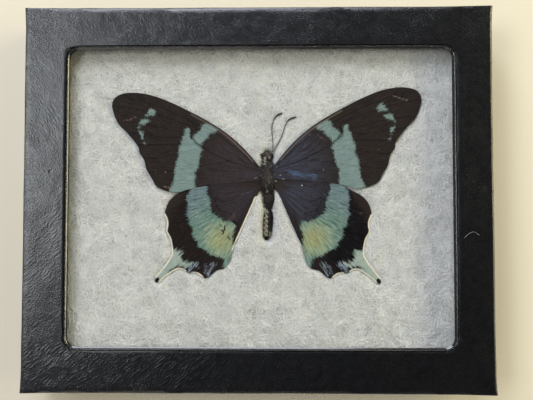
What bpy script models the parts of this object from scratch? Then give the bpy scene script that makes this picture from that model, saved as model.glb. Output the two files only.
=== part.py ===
"""Framed butterfly specimen: a swallowtail pressed on a fibre pad, under the glass of a covered card case.

Lengths are written in millimetres and turned to metres by MM. +Z is up, +Y is the head end of the
butterfly, and the origin is the middle of the case's underside.
"""

import math

import bmesh
import bpy
from mathutils import Vector
from mathutils.geometry import interpolate_bezier

MM = 0.001
GAP = 0.3                    # air between two pieces that lie on each other

# Case: a lid that slips over a tray, both of covered board.
CASE_LENGTH = 139.7          # over the folded corners, along X
CASE_WIDTH = 114.3           # over the folded corners, along Y
CASE_HEIGHT = 19.0
BOARD = 1.6
CORNER_FOLD = 0.4            # how far the doubled cover stands out at each corner
LID_LIFT = 0.4               # the lid's rim stops this far above the table
LID_SLIP = 0.4               # play between the lid and what slides into it
LID_EDGE_RADIUS = 0.9
LID_CORNER_RADIUS = 1.2
WINDOW_LENGTH = 113.7
WINDOW_WIDTH = 88.3
WINDOW_CENTRE = (0.6, 0.45)
WINDOW_RADIUS = 3.0
WINDOW_EDGE_RADIUS = 0.4
GLASS_THICKNESS = 2.0

# Closing pins, pushed through the lid's short walls into the tray.
PIN_SPACING = 60.0
PIN_HEIGHT = 8.5
PIN_LENGTH = 16.0
PIN_RADIUS = 0.35
PIN_HEAD_RADIUS = 0.9
PIN_HEAD_THICKNESS = 0.5

# Specimen.
BODY_LINE_X = 2.7            # the butterfly lies a little right of the case's middle
WING_THICKNESS = 0.25
POCKET_HALF = (3.2, 14.1)    # hollow that the body presses into the pad
POCKET_CENTRE = (2.8, 0.9)
POCKET_FLOOR = 9.0
ANTENNA_RADIUS = 0.12
ANTENNA_CLUB_RADIUS = 0.27

# Heights that follow from the sizes above.
PANEL_UNDERSIDE = CASE_HEIGHT - BOARD
GLASS_TOP = PANEL_UNDERSIDE - GAP
GLASS_UNDERSIDE = GLASS_TOP - GLASS_THICKNESS
TRAY_TOP = GLASS_UNDERSIDE - GAP
FOREWING_UNDERSIDE = GLASS_UNDERSIDE - GAP - WING_THICKNESS
HINDWING_UNDERSIDE = FOREWING_UNDERSIDE - GAP - WING_THICKNESS
PAD_TOP = HINDWING_UNDERSIDE - GAP

# Half sizes that follow from the sizes above.
LID_HALF = (CASE_LENGTH / 2, CASE_WIDTH / 2)
CAVITY_HALF = (LID_HALF[0] - BOARD, LID_HALF[1] - BOARD)
TRAY_HALF = (CAVITY_HALF[0] - LID_SLIP, CAVITY_HALF[1] - LID_SLIP)
PAD_HALF = (TRAY_HALF[0] - BOARD - GAP, TRAY_HALF[1] - BOARD - GAP)

# Outline of a right wing: X is the distance from the body's middle line, Y the place along the body.
# Each list runs from the root along the front edge to the tip, and back to the root.
FOREWING_ROOT = (1.5, 8.0)
FOREWING_OUTLINE = [
    (1.9, 9.7), (2.6, 10.8), (7.1, 16.2), (12.2, 20.8), (17.2, 24.2), (22.3, 27.1), (27.3, 29.7),
    (32.3, 31.9), (36.4, 33.1), (41.0, 33.5), (44.5, 32.7), (46.2, 30.5), (45.8, 27.3), (44.3, 24.0),
    (42.0, 21.6), (40.1, 19.3), (38.4, 16.8), (38.2, 15.3), (36.9, 13.2), (36.5, 11.8), (36.1, 10.1),
    (34.7, 7.6), (33.2, 5.0), (30.0, 3.4), (27.0, 3.0), (23.3, 3.9), (19.0, 4.7), (12.0, 5.3),
    (4.0, 5.8), (1.8, 6.4),
]
HINDWING_ROOT = (1.7, 4.3)
HINDWING_OUTLINE = [
    (2.0, 5.7), (6.3, 7.4), (11.3, 8.0), (16.3, 7.4), (20.8, 5.4), (23.9, 3.2), (28.0, 1.1),
    (30.3, -1.4), (31.3, -4.9), (30.6, -6.6), (30.5, -8.2), (30.7, -9.9), (29.6, -12.0), (29.1, -14.0),
    (28.9, -15.7), (29.1, -17.3), (31.3, -20.6), (33.7, -23.7), (33.8, -25.0), (33.0, -25.4),
    (32.1, -24.8), (30.7, -23.5), (27.7, -21.5), (26.3, -21.2), (24.8, -21.7), (23.8, -22.3),
    (22.3, -22.2), (21.1, -22.5), (19.0, -23.8), (17.8, -23.5), (16.7, -22.5), (15.2, -21.4),
    (13.2, -20.9), (12.1, -19.6), (11.3, -18.2), (10.3, -14.0), (9.1, -11.5), (6.4, -5.3),
    (3.5, 1.3), (2.3, 3.0),
]
# The left wings are the right ones mirrored, turned by these degrees and moved by these steps.
LEFT_FOREWING_TURN = 1.35
LEFT_FOREWING_SHIFT = (-0.2, -0.5)
LEFT_HINDWING_TURN = -0.7
LEFT_HINDWING_SHIFT = (0.5, -0.2)

# Body stations: place along the body, distance from its middle line, half width.
ABDOMEN_STATIONS = [
    (1.8, 0.4, 1.2), (1.0, 0.6, 1.75), (-0.4, 0.6, 1.75), (-1.8, 0.5, 1.35), (-3.0, 0.45, 0.8),
    (-3.5, 0.45, 0.8), (-4.5, 0.4, 1.3), (-6.0, 0.3, 1.55), (-8.0, 0.15, 1.5), (-10.0, -0.05, 1.35),
    (-11.5, -0.25, 0.95), (-12.4, -0.4, 0.4),
]
ABDOMEN_CENTRE_Z = 12.0
ABDOMEN_DEPTH_RATIO = 1.0
THORAX_STATIONS = [
    (11.9, 0.0, 0.9), (11.3, 0.0, 1.5), (9.8, 0.0, 2.0), (7.5, 0.1, 2.2), (5.0, 0.2, 2.15),
    (3.2, 0.3, 1.7), (2.2, 0.4, 1.1),
]
THORAX_CENTRE_Z = 12.1
THORAX_DEPTH_RATIO = 1.22
HEAD_STATIONS = [
    (14.3, -0.2, 0.5), (14.0, -0.15, 1.1), (13.5, -0.1, 1.5), (12.9, 0.0, 1.5), (12.4, 0.0, 1.1),
    (12.2, 0.0, 0.7),
]
HEAD_CENTRE_Z = 12.6
HEAD_DEPTH_RATIO = 1.0

# Antenna paths in the case's own X and Y.
ANTENNA_Z = 14.25
ANTENNA_LEFT_PATH = [(4.3, 14.3), (4.35, 17.6), (4.05, 21.0), (4.35, 23.1), (5.2, 24.8), (7.2, 25.9)]
ANTENNA_RIGHT_PATH = [(4.7, 14.4), (6.1, 17.0), (7.2, 19.4), (8.0, 21.8), (9.1, 23.8), (11.4, 24.75)]


def clear_scene():
    """Start from an empty scene."""
    for scene_object in list(bpy.data.objects):
        bpy.data.objects.remove(scene_object, do_unlink=True)


def make_material(name, colour, roughness, metallic=0.0, alpha=1.0):
    """A Principled material with one colour."""
    material = bpy.data.materials.new(name)
    material.use_nodes = True
    principled = material.node_tree.nodes["Principled BSDF"]
    principled.inputs["Base Color"].default_value = (*colour, 1.0)
    principled.inputs["Roughness"].default_value = roughness
    principled.inputs["Metallic"].default_value = metallic
    principled.inputs["Alpha"].default_value = alpha
    return material


def place(name, mesh, material, parent=None, location=(0.0, 0.0, 0.0), turn=(0.0, 0.0, 0.0)):
    """Put a mesh in the scene as a named object; location is in millimetres and turn in radians."""
    mesh.materials.append(material)
    piece = bpy.data.objects.new(name, mesh)
    bpy.context.collection.objects.link(piece)
    piece.parent = parent
    piece.location = Vector(location) * MM
    piece.rotation_euler = turn
    return piece


def rounded_rectangle(half, radius, z, centre=(0.0, 0.0), pinch=0.0):
    """Points round a rectangle; pinch pulls the middle of each side in and leaves the corners proud."""
    corner_steps = 3
    side_places = (0.05, 0.12, 0.3, 0.5, 0.7, 0.88, 0.95)
    corners = []
    for quarter in range(4):
        across = 1 if quarter in (0, 3) else -1
        along = 1 if quarter in (0, 1) else -1
        middle = Vector((across * (half[0] - radius), along * (half[1] - radius)))
        angles = [math.radians(90 * quarter + 90 * step / corner_steps) for step in range(corner_steps + 1)]
        corners.append([middle + radius * Vector((math.cos(a), math.sin(a))) for a in angles])
    points = []
    for quarter, corner in enumerate(corners):
        points.extend(corner)
        start, end = corner[-1], corners[(quarter + 1) % 4][0]
        inward = Vector((start.y - end.y, end.x - start.x)).normalized()
        for t in side_places:
            bow = pinch * (1 - abs(2 * t - 1) ** 8)
            points.append(start.lerp(end, t) + inward * bow)
    return [Vector((p.x + centre[0], p.y + centre[1], z)) for p in points]


def circle(radius, z, sides=12):
    """Points round a circle about the Z axis."""
    angles = [2 * math.pi * side / sides for side in range(sides)]
    return [Vector((radius * math.cos(a), radius * math.sin(a), z)) for a in angles]


def oval_station(station, centre_z, depth_ratio, sides=16):
    """Points round one cross-section of the body, which runs along Y."""
    along, aside, half_width = station
    angles = [2 * math.pi * side / sides for side in range(sides)]
    return [
        Vector((aside + half_width * math.cos(a), along, centre_z + depth_ratio * half_width * math.sin(a)))
        for a in angles
    ]


def loft(name, loops, closed_ring=False):
    """Join a run of loops into one body, capped at both ends or joined back to its start."""
    bm = bmesh.new()
    rings = [[bm.verts.new(point * MM) for point in loop] for loop in loops]
    pairs = list(zip(rings, rings[1:]))
    if closed_ring:
        pairs.append((rings[-1], rings[0]))
    else:
        bm.faces.new(rings[0])
        bm.faces.new(rings[-1])
    for near, far in pairs:
        for i in range(len(near)):
            bm.faces.new((near[i - 1], near[i], far[i], far[i - 1]))
    bmesh.ops.recalc_face_normals(bm, faces=bm.faces)
    mesh = bpy.data.meshes.new(name)
    bm.to_mesh(mesh)
    bm.free()
    return mesh


def smooth(mesh, angle=35.0):
    """Shade round stretches smooth and keep edges sharper than the angle."""
    mesh.shade_smooth()
    mesh.set_sharp_from_angle(angle=math.radians(angle))
    return mesh


def smooth_outline(points, steps=3):
    """Points on a closed curve through the given ones, from Bezier stretches with Catmull-Rom handles."""
    knots = [Vector((x, y, 0.0)) for x, y in points]
    curve = []
    for i, knot in enumerate(knots):
        before, after, beyond = knots[i - 1], knots[(i + 1) % len(knots)], knots[(i + 2) % len(knots)]
        leave = knot + (after - before) / 6
        arrive = after - (beyond - knot) / 6
        curve.extend(interpolate_bezier(knot, leave, arrive, after, steps + 1)[:-1])
    return curve


def punch(piece, cutters):
    """Cut each cutter out of a piece."""
    for cutter in cutters:
        cut = piece.modifiers.new("hole_" + cutter.name, "BOOLEAN")
        cut.operation = "DIFFERENCE"
        cut.solver = "EXACT"
        cut.object = cutter


def build_lid():
    """The lid: a wall all round, a top panel with the window, and soft paper-covered edges."""
    window_half = (WINDOW_LENGTH / 2, WINDOW_WIDTH / 2)
    loops = [rounded_rectangle(LID_HALF, LID_CORNER_RADIUS, LID_LIFT, pinch=CORNER_FOLD)]
    for degrees in (0, 30, 60, 90):
        inset = LID_EDGE_RADIUS * (1 - math.cos(math.radians(degrees)))
        half = (LID_HALF[0] - inset, LID_HALF[1] - inset)
        z = CASE_HEIGHT - LID_EDGE_RADIUS * (1 - math.sin(math.radians(degrees)))
        loops.append(rounded_rectangle(half, LID_CORNER_RADIUS, z, pinch=CORNER_FOLD))
    for degrees in (0, 45, 90):
        outset = WINDOW_EDGE_RADIUS * (1 - math.sin(math.radians(degrees)))
        half = (window_half[0] + outset, window_half[1] + outset)
        z = CASE_HEIGHT - WINDOW_EDGE_RADIUS * (1 - math.cos(math.radians(degrees)))
        loops.append(rounded_rectangle(half, WINDOW_RADIUS + outset, z, WINDOW_CENTRE))
    loops.append(rounded_rectangle(window_half, WINDOW_RADIUS, PANEL_UNDERSIDE, WINDOW_CENTRE))
    loops.append(rounded_rectangle(CAVITY_HALF, 0.5, PANEL_UNDERSIDE))
    loops.append(rounded_rectangle(CAVITY_HALF, 0.5, LID_LIFT))
    black_cover = make_material("black_leatherette", (0.012, 0.012, 0.014), 0.45)
    return place("lid", smooth(loft("lid", loops, closed_ring=True)), black_cover)


def build_tray():
    """The base tray: a floor with a low wall that holds the pad."""
    inner_half = (TRAY_HALF[0] - BOARD, TRAY_HALF[1] - BOARD)
    loops = [
        rounded_rectangle(TRAY_HALF, 0.8, 0.0),
        rounded_rectangle(TRAY_HALF, 0.8, TRAY_TOP),
        rounded_rectangle(inner_half, 0.5, TRAY_TOP),
        rounded_rectangle(inner_half, 0.5, BOARD),
    ]
    tray_cover = make_material("black_paper", (0.014, 0.014, 0.015), 0.6)
    return place("base_tray", loft("base_tray", loops), tray_cover)


def build_glass():
    """The pane, which lies in the lid under the top panel."""
    half = (CAVITY_HALF[0] - LID_SLIP, CAVITY_HALF[1] - LID_SLIP)
    loops = [rounded_rectangle(half, 0.4, z) for z in (GLASS_UNDERSIDE, GLASS_TOP)]
    return place("glass_pane", loft("glass_pane", loops), make_material("glass", (0.95, 0.97, 0.96), 0.02, alpha=0.2))


def build_pad():
    """The fibre pad that fills the tray, with the hollow that the body presses into it."""
    lower_pocket = (POCKET_HALF[0] - 0.4, POCKET_HALF[1] - 0.4)
    loops = [
        rounded_rectangle(PAD_HALF, 1.5, BOARD + GAP),
        rounded_rectangle(PAD_HALF, 1.5, PAD_TOP),
        rounded_rectangle(POCKET_HALF, POCKET_HALF[0] - 0.05, PAD_TOP, POCKET_CENTRE),
        rounded_rectangle(lower_pocket, lower_pocket[0] - 0.05, POCKET_FLOOR, POCKET_CENTRE),
    ]
    fibre = make_material("white_fibre", (0.62, 0.62, 0.58), 0.95)
    return place("fibre_pad", loft("fibre_pad", loops), fibre)


def build_pins(lid, tray, pad):
    """Four headed pins along X, and the holes they sit in."""
    brass = make_material("pin_brass", (0.62, 0.45, 0.16), 0.3, metallic=1.0)
    wall_face = LID_HALF[0] - CORNER_FOLD
    head = wall_face + GAP
    profile = [
        (PIN_RADIUS * 0.3, -PIN_LENGTH), (PIN_RADIUS, -PIN_LENGTH + 1.5), (PIN_RADIUS, 0.0),
        (PIN_HEAD_RADIUS, 0.0), (PIN_HEAD_RADIUS, PIN_HEAD_THICKNESS * 0.5),
        (PIN_HEAD_RADIUS * 0.6, PIN_HEAD_THICKNESS),
    ]
    hole_reach = PIN_LENGTH + 1.0
    number = 0
    for side in (-1, 1):
        for along in (-PIN_SPACING / 2, PIN_SPACING / 2):
            number += 1
            spot = (side * head, along, PIN_HEIGHT)
            turn = (0.0, side * math.pi / 2, 0.0)
            name = f"closing_pin_{number}"
            mesh = smooth(loft(name, [circle(radius, z) for radius, z in profile]))
            place(name, mesh, brass, location=spot, turn=turn)
            bore = loft(name + "_bore", [circle(PIN_RADIUS + GAP, z, 8) for z in (-hole_reach, 1.0)])
            cutter = place(name + "_bore", bore, brass, location=spot, turn=turn)
            cutter.hide_render = True
            cutter.display_type = "WIRE"
            for piece in (lid, tray, pad):
                punch(piece, [cutter])


def build_wing(name, outline, root, underside, material, specimen, side, turn=0.0, shift=(0.0, 0.0)):
    """One wing as a thin flat plate; side is 1 for the right and -1 for the left, which is mirrored."""
    curve = smooth_outline([(side * (x - root[0]), y - root[1]) for x, y in outline])
    loops = [[Vector((p.x, p.y, z)) for p in curve] for z in (0.0, WING_THICKNESS)]
    spot = (side * root[0] + shift[0], root[1] + shift[1], underside)
    place(name, loft(name, loops), material, specimen, spot, (0.0, 0.0, math.radians(turn)))


def build_wings(specimen):
    """Forewings on top, hindwings a gap below them."""
    fore_scales = make_material("forewing_scales", (0.022, 0.018, 0.016), 0.7)
    hind_scales = make_material("hindwing_scales", (0.16, 0.24, 0.20), 0.7)
    fore = (FOREWING_OUTLINE, FOREWING_ROOT, FOREWING_UNDERSIDE, fore_scales, specimen)
    hind = (HINDWING_OUTLINE, HINDWING_ROOT, HINDWING_UNDERSIDE, hind_scales, specimen)
    build_wing("forewing_right", *fore, side=1)
    build_wing("forewing_left", *fore, side=-1, turn=LEFT_FOREWING_TURN, shift=LEFT_FOREWING_SHIFT)
    build_wing("hindwing_right", *hind, side=1)
    build_wing("hindwing_left", *hind, side=-1, turn=LEFT_HINDWING_TURN, shift=LEFT_HINDWING_SHIFT)


def build_body(specimen):
    """Head, thorax and abdomen, each lofted through its own stations along the body."""
    hair = make_material("dark_hair", (0.03, 0.027, 0.022), 0.9)
    spotted = make_material("spotted_abdomen", (0.05, 0.045, 0.035), 0.6)
    parts = (
        ("head", HEAD_STATIONS, HEAD_CENTRE_Z, HEAD_DEPTH_RATIO, hair),
        ("thorax", THORAX_STATIONS, THORAX_CENTRE_Z, THORAX_DEPTH_RATIO, hair),
        ("abdomen", ABDOMEN_STATIONS, ABDOMEN_CENTRE_Z, ABDOMEN_DEPTH_RATIO, spotted),
    )
    for name, stations, centre_z, depth_ratio, material in parts:
        loops = [oval_station(station, centre_z, depth_ratio) for station in stations]
        place(name, smooth(loft(name, loops), 60.0), material, specimen)


def build_antenna(name, path, material, specimen):
    """A feeler as a thin tube that thickens to a club over its last stretch."""
    curve = bpy.data.curves.new(name, "CURVE")
    curve.dimensions = "3D"
    curve.bevel_depth = ANTENNA_RADIUS * MM
    curve.bevel_resolution = 1
    curve.use_fill_caps = True
    curve.resolution_u = 4
    spline = curve.splines.new("BEZIER")
    spline.bezier_points.add(len(path) - 1)
    for point, (x, y) in zip(spline.bezier_points, path):
        point.co = Vector((x - BODY_LINE_X, y, ANTENNA_Z)) * MM
        point.handle_left_type = "AUTO"
        point.handle_right_type = "AUTO"
    spline.bezier_points[-1].radius = ANTENNA_CLUB_RADIUS / ANTENNA_RADIUS
    curve.materials.append(material)
    antenna = bpy.data.objects.new(name, curve)
    bpy.context.collection.objects.link(antenna)
    antenna.parent = specimen


def build_part():
    """Build every piece of the framed specimen."""
    clear_scene()
    lid = build_lid()
    tray = build_tray()
    build_glass()
    pad = build_pad()
    build_pins(lid, tray, pad)
    specimen = bpy.data.objects.new("specimen", None)
    specimen.location = Vector((BODY_LINE_X, 0.0, 0.0)) * MM
    bpy.context.collection.objects.link(specimen)
    build_wings(specimen)
    build_body(specimen)
    feeler = make_material("feeler", (0.035, 0.03, 0.026), 0.6)
    build_antenna("antenna_left", ANTENNA_LEFT_PATH, feeler, specimen)
    build_antenna("antenna_right", ANTENNA_RIGHT_PATH, feeler, specimen)


build_part()
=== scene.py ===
"""Framed butterfly specimen: the finish of every surface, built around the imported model.

Lengths are written in millimetres and turned to metres by MM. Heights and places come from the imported
model's boxes. Left and right are as seen from above, with the butterfly's head up.
"""

import math
import random

import bmesh
import bpy
import numpy as np
from mathutils import Matrix, Vector, noise
from mathutils.geometry import interpolate_bezier


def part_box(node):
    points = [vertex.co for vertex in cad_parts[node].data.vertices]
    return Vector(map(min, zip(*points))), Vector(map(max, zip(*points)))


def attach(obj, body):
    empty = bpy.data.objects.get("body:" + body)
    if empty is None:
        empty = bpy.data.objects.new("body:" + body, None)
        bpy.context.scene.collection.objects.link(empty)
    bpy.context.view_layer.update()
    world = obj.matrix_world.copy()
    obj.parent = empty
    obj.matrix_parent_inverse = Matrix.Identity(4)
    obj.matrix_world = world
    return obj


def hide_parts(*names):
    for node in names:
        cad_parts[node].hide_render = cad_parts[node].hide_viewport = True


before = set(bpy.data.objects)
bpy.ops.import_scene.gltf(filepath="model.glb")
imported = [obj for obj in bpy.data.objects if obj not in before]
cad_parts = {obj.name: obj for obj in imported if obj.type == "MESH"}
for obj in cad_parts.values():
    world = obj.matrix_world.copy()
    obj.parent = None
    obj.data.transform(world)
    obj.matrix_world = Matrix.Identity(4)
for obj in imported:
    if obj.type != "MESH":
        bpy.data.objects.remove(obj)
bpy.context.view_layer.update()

MM = 0.001


def box_mm(node):
    """A node's lowest and highest corners in millimetres."""
    low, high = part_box(node)
    return Vector(low) / MM, Vector(high) / MM


LID_LOW, LID_HIGH = box_mm("lid")
GLASS_LOW, GLASS_HIGH = box_mm("glass_pane")
PAD_LOW, PAD_HIGH = box_mm("fibre_pad")
BODY_LINE_X = 2.7            # the butterfly lies a little right of the case's middle
BOARD = 1.6
WINDOW_HALF = (56.85, 44.15)
WINDOW_CENTRE = (0.6, 0.45)
WINDOW_RADIUS = 3.0


# Camera, floor and lights
# ------------------------

def build_camera():
    """A camera straight above, a little off the middle and hardly tilted."""
    camera = bpy.data.cameras.new("camera")
    camera.sensor_width = 36.0
    camera.lens = 40.53
    camera.clip_start = 0.01
    viewer = bpy.data.objects.new("camera", camera)
    viewer.location = Vector((5.03, -6.89, 194.89)) * MM
    viewer.rotation_euler = [math.radians(angle) for angle in (2.074, 0.822, 0.019)]
    bpy.context.collection.objects.link(viewer)
    bpy.context.scene.camera = viewer
    bpy.context.scene.view_settings.view_transform = "Standard"


def build_light(name, place, aim, size, power, colour):
    """One soft rectangular light that faces a point; places are in metres."""
    lamp = bpy.data.lights.new(name, "AREA")
    lamp.shape = "RECTANGLE"
    lamp.size, lamp.size_y = size
    lamp.energy = power
    lamp.color = colour
    stand = bpy.data.objects.new(name, lamp)
    stand.location = place
    stand.rotation_euler = (Vector(aim) - Vector(place)).to_track_quat("-Z", "Y").to_euler()
    bpy.context.collection.objects.link(stand)


def build_lights():
    """Cool window light from behind the head end, a big soft one at the left that gives the cover its sheen,
    a weak warm one at the right, and a sky that is dark overhead, where the glass would mirror it."""
    build_light("window_light", (-0.14, 0.62, 0.50), (0.0, 0.0, 0.0), (0.56, 0.40), 4.7, (0.86, 0.89, 1.0))
    build_light("sheen_light", (-0.48, 0.10, 0.75), (-0.05, 0.02, 0.0), (0.45, 0.26), 2.3, (0.93, 0.97, 1.0))
    build_light("side_light", (0.72, 0.16, 0.30), (0.05, 0.0, 0.0), (0.60, 0.22), 4.3, (1.0, 0.93, 0.56))
    build_light("low_fill", (-0.30, -0.65, 0.40), (0.0, 0.0, 0.0), (0.60, 0.40), 0.5, (1.0, 0.94, 0.84))
    world = bpy.data.worlds.new("studio")
    world.use_nodes = True
    tree = world.node_tree
    up = add(tree, "SeparateXYZ", (add(tree, "TexCoord", out="Generated"),), 2)
    feed(tree, tree.nodes["Background"], {"Color": (1.0, 0.97, 0.93, 1.0),
                                          "Strength": cover(tree, up, 0.30, 0.85, 0.34, 0.03)})
    bpy.context.scene.world = world


def build_table():
    """A pale plain table under the case."""
    bm = bmesh.new()
    bmesh.ops.create_grid(bm, x_segments=1, y_segments=1, size=1500.0)
    bmesh.ops.scale(bm, vec=(MM, MM, MM), verts=bm.verts)
    mesh = bpy.data.meshes.new("table")
    bm.to_mesh(mesh)
    bm.free()
    mesh.materials.append(table_finish())
    table = bpy.data.objects.new("table", mesh)
    bpy.context.collection.objects.link(table)


# Material tools
# --------------

def linear(hex_colour):
    """An sRGB hex colour as the linear values that shaders take."""
    channels = [int(hex_colour[i:i + 2], 16) / 255 for i in (1, 3, 5)]
    return (*[c / 12.92 if c <= 0.04045 else ((c + 0.055) / 1.055) ** 2.4 for c in channels], 1.0)


def feed(tree, node, sockets):
    """Give a node's sockets their values or links; a hex colour is turned to linear."""
    for key, value in sockets.items():
        if isinstance(value, bpy.types.NodeSocket):
            tree.links.new(value, node.inputs[key])
        else:
            node.inputs[key].default_value = linear(value) if isinstance(value, str) else value


def add(tree, kind, sockets=(), out=0, **settings):
    """Add a shader node and give one of its outputs. Sockets are fed in their order, or by name or number."""
    node = tree.nodes.new("ShaderNode" + kind)
    for key, value in settings.items():
        setattr(node, key, value)
    feed(tree, node, sockets if isinstance(sockets, dict) else dict(enumerate(sockets)))
    return node.outputs[out]


def new_material(name):
    """A node material with its Principled shader."""
    material = bpy.data.materials.new(name)
    material.use_nodes = True
    return material, material.node_tree, material.node_tree.nodes["Principled BSDF"]


def object_mm(tree, stretch=(1.0, 1.0, 1.0), turn=0.0):
    """Object coordinates in millimetres, turned about Z and stretched."""
    turned = add(tree, "Mapping", {"Vector": add(tree, "TexCoord", out="Object"),
                                   "Rotation": (0.0, 0.0, math.radians(turn))})
    return add(tree, "Mapping", {"Vector": turned, "Scale": [s / MM for s in stretch]})


def unevenness(tree, place, cells, detail=3.0, roughness=0.5, w=0.0):
    """A cloudy value round 0, with so many cells a millimetre."""
    cloud = add(tree, "TexNoise", (place, w, cells, detail, roughness), noise_dimensions="4D")
    return add(tree, "Math", (cloud, 0.5), operation="SUBTRACT")


def streaks(tree, fan, along, across, w, detail=3.0):
    """Unevenness drawn out along the lines that run from the wing's root; fan holds reach and arc in mm."""
    lie = add(tree, "VectorMath", (fan, (along, across, 1.0)), operation="MULTIPLY")
    return unevenness(tree, lie, 1.0, detail, 0.6, w)


def ragged(tree, depth, *pushes):
    """Push a depth in and out; each push is an unevenness and how many mm it moves the edge."""
    for push, reach in pushes:
        depth = add(tree, "Math", (push, reach, depth), operation="MULTIPLY_ADD")
    return depth


def cover(tree, depth, low, high, bottom=0.0, top=1.0):
    """Go smoothly from bottom to top as a depth goes from low to high; the depth may have pushes behind it."""
    depth = ragged(tree, *depth) if isinstance(depth, tuple) else depth
    return add(tree, "MapRange", (depth, low, high, bottom, top), interpolation_type="SMOOTHSTEP")


def layers(tree, colour, *coats):
    """Lay coats over a colour. Each is a tint, a depth, the depths between which it comes in, and its share."""
    for tint, depth, low, high, *share in coats:
        colour = add(tree, "Mix", {0: cover(tree, depth, low, high, 0.0, *share), 6: colour, 7: tint}, 2,
                     data_type="RGBA")
    return colour


def dust_specks(tree, colour, place, per_mm, size, share, tint, w):
    """Scatter pale specks, size mm across, over a colour: share of the cells hold one."""
    lie = add(tree, "VectorMath", (place, (w * 7.3, w * 3.1, 0.0)), operation="ADD")
    cells = add(tree, "TexVoronoi", {"Vector": lie, "Scale": per_mm})
    pick = add(tree, "SeparateXYZ", (cells.node.outputs["Color"],))
    chosen = add(tree, "Math", (pick, share), operation="LESS_THAN")
    return layers(tree, colour, (tint, cells, size * per_mm, size * per_mm * 0.4, chosen))


# Materials
# ---------

def leatherette():
    """Black coated paper embossed with a calf grain: pebbles under 1 mm, and creases up to 5 mm long.

    The creases lean one way in the upper half and the other way in the lower, as cut from a roll of hide print.
    """
    material, tree, shader = new_material("black_leatherette_paper")
    place = object_mm(tree)
    drift = add(tree, "TexNoise", {"Vector": place, "Scale": 0.35, "Detail": 3.0}, "Color")
    drift = add(tree, "VectorMath", (drift, [1.5] * 3, [-0.75] * 3), operation="MULTIPLY_ADD")
    creases = []
    for turn, stretch in ((-42.0, (0.28, 1.15, 0.8)), (50.0, (0.34, 1.5, 0.8)), (8.0, (1.5, 1.7, 1.2))):
        lie = add(tree, "VectorMath", (object_mm(tree, stretch, turn), drift), operation="ADD")
        cells = add(tree, "TexVoronoi", {"Vector": lie, "Scale": 1.0}, feature="DISTANCE_TO_EDGE")
        creases.append(cover(tree, cells, 0.0, 0.34))
    height_y = add(tree, "SeparateXYZ", (place,), 1)
    lean = ragged(tree, height_y, (unevenness(tree, place, 0.05, 2.0, w=3.0), 80.0))
    pebbles = layers(tree, creases[0], (creases[1], lean, -15.0, 10.0),
                     (creases[2], unevenness(tree, place, 0.08, 2.0, w=8.0), -0.14, 0.12))
    dent = add(tree, "VectorMath", (place, (-61.3, 7.9, LID_HIGH.z)), "Value", operation="DISTANCE")
    dent = cover(tree, dent, 0.2, 0.9)
    relief = ragged(tree, pebbles, (unevenness(tree, place, 2.1, 3.0, 0.62), 1.5), (dent, 2.2))
    waves = add(tree, "Bump", {"Height": unevenness(tree, place, 0.10, 2.0, w=5.0), "Distance": 0.35 * MM})
    worn = unevenness(tree, place, 0.5, 4.0, w=1.0)
    feed(tree, shader, {
        # Painted shade: the grooves between the pebbles are coloured darker than the pebbles.
        "Base Color": layers(tree, "#060709", ("#0e0f15", pebbles, 0.0, 0.6)),
        "Normal": add(tree, "Bump", {"Height": relief, "Distance": 0.026 * MM, "Normal": waves}),
        "Coat Normal": add(tree, "Bump", {"Height": relief, "Distance": 0.027 * MM, "Normal": waves}),
        "Roughness": cover(tree, worn, -0.2, 0.2, 0.29, 0.35),
        "IOR": 1.5, "Coat Weight": 0.8, "Coat Roughness": 0.23,
    })
    return material


def stretched_leatherette():
    """The same coated paper where it is pulled tight round the window's edge: the grain is nearly flat, so
    it takes a bright line of light."""
    material, tree, shader = new_material("stretched_leatherette_rim")
    grain = unevenness(tree, object_mm(tree), 0.9)
    feed(tree, shader, {
        "Base Color": "#0c0c0e",
        "Normal": add(tree, "Bump", {"Height": grain, "Distance": 0.05 * MM}),
        "Roughness": cover(tree, grain, -0.2, 0.2, 0.16, 0.24),
        "Coat Weight": 1.0, "Coat Roughness": 0.12,
    })
    return material


def black_paper():
    """Matte black paper over board: a faint felt of fibres about 0.3 mm wide, slightly rubbed."""
    material, tree, shader = new_material("black_paper_over_board")
    place = object_mm(tree)
    felt = unevenness(tree, place, 3.2, 5.0, 0.65)
    rubbed = unevenness(tree, place, 0.15, 4.0, 0.6, 2.0)
    feed(tree, shader, {
        "Base Color": layers(tree, "#141415", ("#222223", rubbed, -0.05, 0.25)),
        "Normal": add(tree, "Bump", {"Height": felt, "Distance": 0.04 * MM}),
        "Roughness": cover(tree, felt, -0.2, 0.2, 0.62, 0.78),
    })
    return material


def window_glass():
    """Clear float glass, 2 mm: it bends and mirrors for the eye and lets lamps straight through."""
    material, tree, shader = new_material("clear_float_glass")
    feed(tree, shader, {"Base Color": "#ffffff", "Roughness": 0.0, "IOR": 1.5, "Transmission Weight": 1.0})
    shadow = add(tree, "LightPath", out="Is Shadow Ray")
    lamps = add(tree, "Math", (shadow, shadow.node.outputs["Is Diffuse Ray"]), operation="MAXIMUM")
    straight = add(tree, "BsdfTransparent", ("#ffffff",))
    mixed = add(tree, "MixShader", (lamps, shader.outputs[0], straight))
    feed(tree, tree.nodes["Material Output"], {"Surface": mixed})
    return material


def batting():
    """White polyester batting seen as a felted mass: soft clumps some millimetres wide, matte. Its grey, darker than
    the loose white fibres, is painted shade among the fibres.
    """
    material, tree, shader = new_material("polyester_batting")
    clumps = unevenness(tree, object_mm(tree), 0.22, 4.0, 0.6)
    wisps = unevenness(tree, object_mm(tree, (1.0, 0.35, 1.0), 35.0), 1.6, 4.0, 0.65, 4.0)
    shade = ragged(tree, clumps, (wisps, 0.5))
    feed(tree, shader, {
        # Painted shade: the mass is grey, darker than the white fibres over it.
        "Base Color": layers(tree, "#adaea8", ("#dcdcd6", shade, -0.25, 0.2)),
        "Normal": add(tree, "Bump", {"Height": shade, "Distance": 0.5 * MM}),
        "Roughness": 0.9, "Specular IOR Level": 0.2,
    })
    return material


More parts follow.
